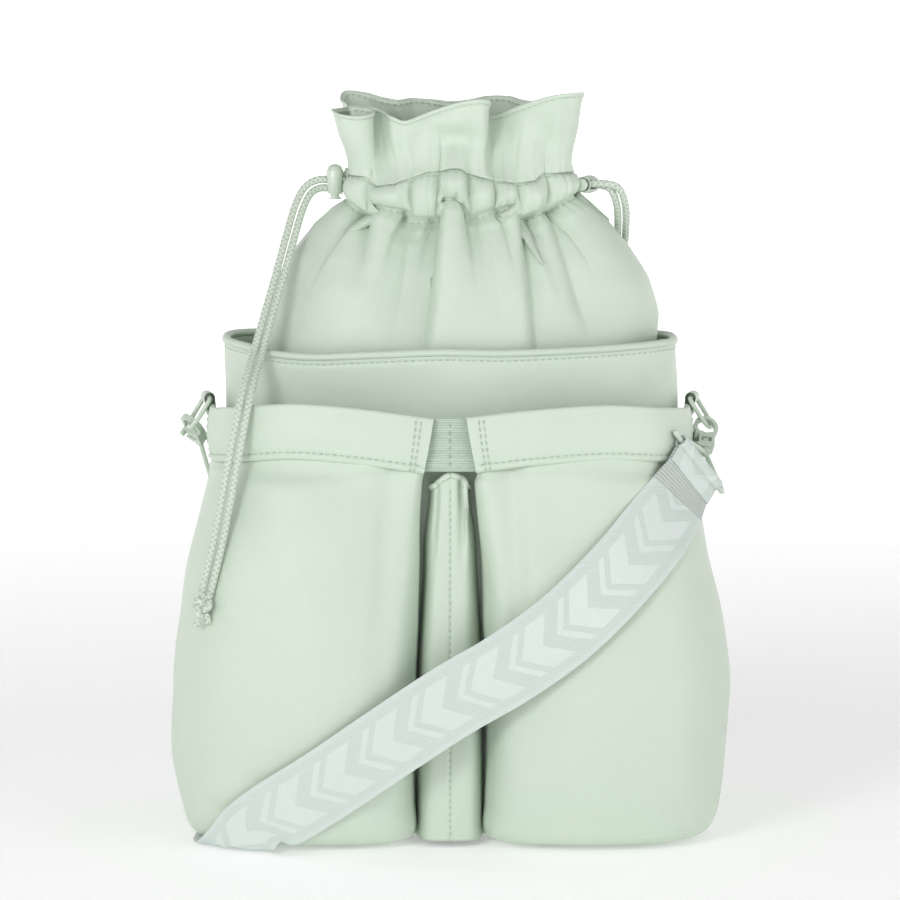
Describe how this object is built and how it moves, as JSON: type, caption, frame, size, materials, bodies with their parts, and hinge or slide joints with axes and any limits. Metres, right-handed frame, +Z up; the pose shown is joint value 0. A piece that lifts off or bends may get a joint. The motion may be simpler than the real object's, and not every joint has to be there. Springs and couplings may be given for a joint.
{
  "type": "drawstring bucket bag",
  "caption": "Faux leather bucket bag with a gathered drawstring neck, bottle pockets with bands on the front, and a webbing strap clipped to rings at both sides.",
  "frame": {"origin": "centre of the bag's bounding box in plan, on the floor under its base panel", "axes": "+Z up, -Y towards the front with the pockets, +X to the viewer's right when facing the front"},
  "size_m": [0.2904, 0.182, 0.386],
  "materials": {
    "leather": "soft semi-gloss, fine pebble grain",
    "lining": "matte",
    "webbing": "woven, low sheen",
    "elastic": "ribbed, matte",
    "cord": "braided, low sheen",
    "hardware": "satin",
    "lock": "satin",
    "spring": "bright"
  },
  "bodies": {
    "bag": {"base_panel": "leather", "bucket_front_panel": "leather", "bucket_back_panel": "leather", "rim_piping": "leather", "pouch_front_panel": "leather", "pouch_back_panel": "leather", "casing_front": "leather", "casing_back": "leather", "ruffle_front": "leather", "ruffle_back": "leather", "pocket_left": "leather", "pocket_right": "leather", "pocket_band_left": "leather", "pocket_band_right": "leather", "centre_pleat": "leather", "ring_tab_left": "leather", "ring_tab_right": "leather", "lining": "lining", "strap_webbing": "webbing", "pocket_elastic": "elastic", "drawcord_left": "cord", "drawcord_right": "cord", "cord_strand_left_a": "cord", "cord_strand_left_b": "cord", "cord_strand_right_a": "cord", "cord_strand_right_b": "cord", "cord_knot_left": "cord", "cord_knot_right": "cord"},
    "ring_left": {"ring_left": "hardware", "strap_loop_left": "hardware", "strap_fold_left": "webbing"},
    "hook_left": {"hook_body_left": "hardware"},
    "gate_left": {"hook_gate_left": "hardware"},
    "lock_left": {"lock_barrel_left": "lock", "lock_spring_left": "spring"},
    "button_left": {"lock_button_left": "lock"},
    "ring_right": {"ring_right": "hardware", "strap_loop_right": "hardware", "strap_fold_right": "webbing"},
    "hook_right": {"hook_body_right": "hardware"},
    "gate_right": {"hook_gate_right": "hardware"},
    "lock_right": {"lock_barrel_right": "lock", "lock_spring_right": "spring"},
    "button_right": {"lock_button_right": "lock"},
    "slider": {"strap_slider": "hardware"}
  },
  "joints": [
    {"name": "ring_left_hinge", "type": "hinge", "parent": "bag", "child": "ring_left", "pos_m": [-0.1275, 0.0124, 0.226], "axis": [-0.2079, 0.9781, 0], "range_deg": [-1.5, 12], "deforming": ["strap_webbing"]},
    {"name": "hook_left_swivel", "type": "hinge", "parent": "ring_left", "child": "hook_left", "pos_m": [-0.13704, 0.01724, 0.21267], "axis": [0.1887, 0.7966, -0.5744], "range_deg": [-4, 0.3]},
    {"name": "gate_left_slide", "type": "slide", "parent": "hook_left", "child": "gate_left", "axis": [0.1887, 0.7966, -0.5744], "range_m": [0, 0.004], "stiffness_N_per_m": 250, "springref_m": -0.004},
    {"name": "lock_left_slide", "type": "slide", "parent": "bag", "child": "lock_left", "axis": [-1, 0, 0], "range_m": [0, 0.003]},
    {"name": "button_left_press", "type": "slide", "parent": "lock_left", "child": "button_left", "axis": [0, 0, 1], "range_m": [0, 0.0025], "stiffness_N_per_m": 400, "springref_m": -0.004, "deforming": ["lock_spring_left"]},
    {"name": "ring_right_hinge", "type": "hinge", "parent": "bag", "child": "ring_right", "pos_m": [0.1275, 0.0124, 0.226], "axis": [-0.2079, -0.9781, 0], "range_deg": [-1.5, 12], "deforming": ["strap_webbing"]},
    {"name": "hook_right_swivel", "type": "hinge", "parent": "ring_right", "child": "hook_right", "pos_m": [0.13425, 0.0041, 0.21267], "axis": [-0.0575, -0.7522, -0.6564], "range_deg": [-5, 5]},
    {"name": "gate_right_slide", "type": "slide", "parent": "hook_right", "child": "gate_right", "axis": [-0.0575, -0.7522, -0.6564], "range_m": [0, 0.004], "stiffness_N_per_m": 250, "springref_m": -0.004},
    {"name": "lock_right_slide", "type": "slide", "parent": "bag", "child": "lock_right", "axis": [0.9063, -0.4226, 0], "range_m": [0, 0.0013]},
    {"name": "button_right_press", "type": "slide", "parent": "lock_right", "child": "button_right", "axis": [0.4226, 0.9063, 0], "range_m": [0, 0.0025], "stiffness_N_per_m": 400, "springref_m": -0.004, "deforming": ["lock_spring_right"]},
    {"name": "slider_slide", "type": "slide", "parent": "bag", "child": "slider", "axis": [0, 0, 1], "range_m": [-0.012, 0.012]}
  ]
}
